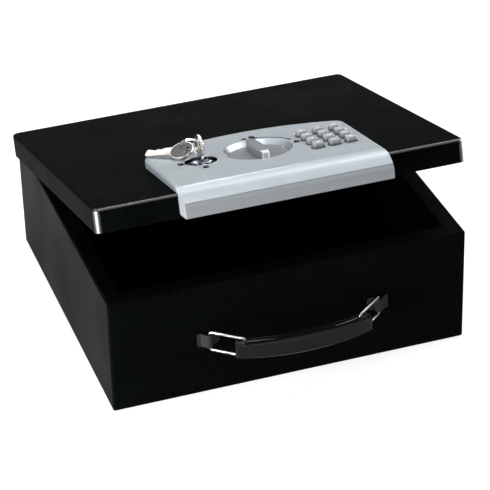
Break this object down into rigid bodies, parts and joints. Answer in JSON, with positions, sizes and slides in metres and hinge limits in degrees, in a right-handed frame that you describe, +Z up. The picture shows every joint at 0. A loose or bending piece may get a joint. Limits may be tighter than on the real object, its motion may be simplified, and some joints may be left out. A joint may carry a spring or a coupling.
{
  "type": "electronic safe",
  "caption": "Shallow steel security box with a back-hinged pan lid, moulded panel with keypad, turning knob and key lock, and a folding grip on wire bails.",
  "frame": {"origin": "centre of the base's underside, on the surface that the box stands on", "axes": "+Z up, -Y out of the front wall with the handle, +X to the right as seen from the front"},
  "size_m": [0.3096, 0.3293, 0.1944],
  "materials": {
    "body_paint": "black textured powder coat",
    "hinge_paint": "black satin paint",
    "zinc_steel": "zinc-plated steel",
    "rivet_steel": "black painted steel",
    "wire_chrome": "bright nickel-plated wire",
    "grip_plastic": "fine matt black moulding",
    "panel_plastic": "silver-blue painted moulding with a dark grey band at its lower edge",
    "board": "circuit board",
    "mat_rubber": "silicone switch mat",
    "box_plastic": "black moulding",
    "tray_plastic": "black moulding",
    "door_plastic": "black moulding",
    "cell_wrap": "printed battery wrap",
    "knob_plastic": "silver-blue painted moulding",
    "cam_brass": "turned brass",
    "coil_copper": "lacquered copper winding",
    "lock_chrome": "chromed die casting",
    "key_nickel": "nickel-plated brass",
    "ring_steel": "plated spring wire",
    "key_plastic": "silver-grey moulding"
  },
  "bodies": {
    "box": {"body_shell": "body_paint", "hinge_body_leaf": "hinge_paint", "hinge_pin": "zinc_steel", "hinge_body_rivets": "rivet_steel", "handle_bracket_left": "hinge_paint", "handle_bracket_right": "hinge_paint"},
    "lid": {"lid_shell": "body_paint", "hinge_lid_leaf": "hinge_paint", "hinge_lid_rivets": "rivet_steel", "panel_housing": "panel_plastic", "panel_screws": "zinc_steel", "keypad_board": "board", "keypad_mat": "mat_rubber", "lid_box": "box_plastic", "lid_box_screws": "zinc_steel", "battery_tray": "tray_plastic", "batteries": "cell_wrap", "bolt_guide": "zinc_steel", "solenoid_frame": "zinc_steel", "solenoid_coil": "coil_copper", "lock_barrel": "lock_chrome", "lock_nut": "zinc_steel"},
    "handle_grip": {"grip": "grip_plastic", "grip_strap": "zinc_steel"},
    "handle_bail_left": {"bail_left": "wire_chrome"},
    "handle_bail_right": {"bail_right": "wire_chrome"},
    "knob": {"knob": "knob_plastic", "spindle": "zinc_steel", "scroll_cam": "cam_brass", "spindle_clip": "zinc_steel"},
    "bolt": {"bolt_bar": "zinc_steel"},
    "plunger": {"solenoid_plunger": "zinc_steel"},
    "lock_plug": {"lock_plug": "lock_chrome", "lock_cam": "zinc_steel", "lock_cam_screw": "zinc_steel"},
    "lock_key": {"key_in_lock": "key_nickel"},
    "key_ring": {"key_ring": "ring_steel"},
    "spare_key": {"spare_key": "key_nickel"},
    "battery_door": {"battery_door": "door_plastic"},
    "key_1_button": {"key_1": "key_plastic"},
    "key_2_button": {"key_2": "key_plastic"},
    "key_3_button": {"key_3": "key_plastic"},
    "key_4_button": {"key_4": "key_plastic"},
    "key_5_button": {"key_5": "key_plastic"},
    "key_6_button": {"key_6": "key_plastic"},
    "key_7_button": {"key_7": "key_plastic"},
    "key_8_button": {"key_8": "key_plastic"},
    "key_9_button": {"key_9": "key_plastic"},
    "key_left_button": {"key_left": "key_plastic"},
    "key_0_button": {"key_0": "key_plastic"},
    "key_right_button": {"key_right": "key_plastic"}
  },
  "joints": [
    {"name": "lid_hinge", "type": "hinge", "parent": "box", "child": "lid", "pos_m": [0, 0.14315, 0.08445], "axis": [-1, 0, 0], "range_deg": [-15.6, 80]},
    {"name": "grip_slide", "type": "slide", "parent": "box", "child": "handle_grip", "axis": [0, 1, 0], "range_m": [0, 0.0165]},
    {"name": "bail_left_turn", "type": "hinge", "parent": "box", "child": "handle_bail_left", "pos_m": [-0.0708, -0.1444, 0.052], "axis": [0, 0, 1], "range_deg": [0, 30.5]},
    {"name": "bail_right_turn", "type": "hinge", "parent": "box", "child": "handle_bail_right", "pos_m": [0.0752, -0.1444, 0.052], "axis": [0, 0, -1], "range_deg": [0, 30.5]},
    {"name": "bolt_slide", "type": "slide", "parent": "lid", "child": "bolt", "axis": [0, -0.9632, 0.2689], "range_m": [0, 0.009]},
    {"name": "knob_turn", "type": "hinge", "parent": "lid", "child": "knob", "pos_m": [0, -0.06732, 0.17293], "axis": [0, 0.2436, 0.9699], "range_deg": [-90, 0]},
    {"name": "plunger_slide", "type": "slide", "parent": "lid", "child": "plunger", "axis": [1, 0, 0], "range_m": [0, 0.004], "stiffness_N_per_m": 150},
    {"name": "lock_turn", "type": "hinge", "parent": "lid", "child": "lock_plug", "pos_m": [-0.049, -0.06878, 0.1733], "axis": [0, 0.2436, 0.9699], "range_deg": [-90, 0]},
    {"name": "key_pull", "type": "slide", "parent": "lock_plug", "child": "lock_key", "axis": [0, 0.2436, 0.9699], "range_m": [0, 0.026]},
    {"name": "ring_swing", "type": "hinge", "parent": "lock_key", "child": "key_ring", "pos_m": [-0.049, -0.06497, 0.18843], "axis": [1, 0, 0], "range_deg": [0, 40]},
    {"name": "spare_swing", "type": "hinge", "parent": "key_ring", "child": "spare_key", "pos_m": [-0.0558, -0.05238, 0.1753], "axis": [0.3196, 0.0363, -0.9469], "range_deg": [0, 10]},
    {"name": "battery_door_pull", "type": "slide", "parent": "lid", "child": "battery_door", "axis": [0, -0.2689, -0.9632], "range_m": [0, 0.02]},
    {"name": "key_1_press", "type": "slide", "parent": "lid", "child": "key_1_button", "axis": [0, -0.2436, -0.9699], "range_m": [0, 0.001], "stiffness_N_per_m": 600},
    {"name": "key_2_press", "type": "slide", "parent": "lid", "child": "key_2_button", "axis": [0, -0.2436, -0.9699], "range_m": [0, 0.001], "stiffness_N_per_m": 600},
    {"name": "key_3_press", "type": "slide", "parent": "lid", "child": "key_3_button", "axis": [0, -0.2436, -0.9699], "range_m": [0, 0.001], "stiffness_N_per_m": 600},
    {"name": "key_4_press", "type": "slide", "parent": "lid", "child": "key_4_button", "axis": [0, -0.2436, -0.9699], "range_m": [0, 0.001], "stiffness_N_per_m": 600},
    {"name": "key_5_press", "type": "slide", "parent": "lid", "child": "key_5_button", "axis": [0, -0.2436, -0.9699], "range_m": [0, 0.001], "stiffness_N_per_m": 600},
    {"name": "key_6_press", "type": "slide", "parent": "lid", "child": "key_6_button", "axis": [0, -0.2436, -0.9699], "range_m": [0, 0.001], "stiffness_N_per_m": 600},
    {"name": "key_7_press", "type": "slide", "parent": "lid", "child": "key_7_button", "axis": [0, -0.2436, -0.9699], "range_m": [0, 0.001], "stiffness_N_per_m": 600},
    {"name": "key_8_press", "type": "slide", "parent": "lid", "child": "key_8_button", "axis": [0, -0.2436, -0.9699], "range_m": [0, 0.001], "stiffness_N_per_m": 600},
    {"name": "key_9_press", "type": "slide", "parent": "lid", "child": "key_9_button", "axis": [0, -0.2436, -0.9699], "range_m": [0, 0.001], "stiffness_N_per_m": 600},
    {"name": "key_left_press", "type": "slide", "parent": "lid", "child": "key_left_button", "axis": [0, -0.2436, -0.9699], "range_m": [0, 0.001], "stiffness_N_per_m": 600},
    {"name": "key_0_press", "type": "slide", "parent": "lid", "child": "key_0_button", "axis": [0, -0.2436, -0.9699], "range_m": [0, 0.001], "stiffness_N_per_m": 600},
    {"name": "key_right_press", "type": "slide", "parent": "lid", "child": "key_right_button", "axis": [0, -0.2436, -0.9699], "range_m": [0, 0.001], "stiffness_N_per_m": 600}
  ],
  "couplings": [
    {"joint": "bail_left_turn", "follows": "grip_slide", "rad_per_m": 32.204},
    {"joint": "bail_right_turn", "follows": "grip_slide", "rad_per_m": 32.204},
    {"joint": "knob_turn", "follows": "bolt_slide", "rad_per_m": -174.53}
  ]
}
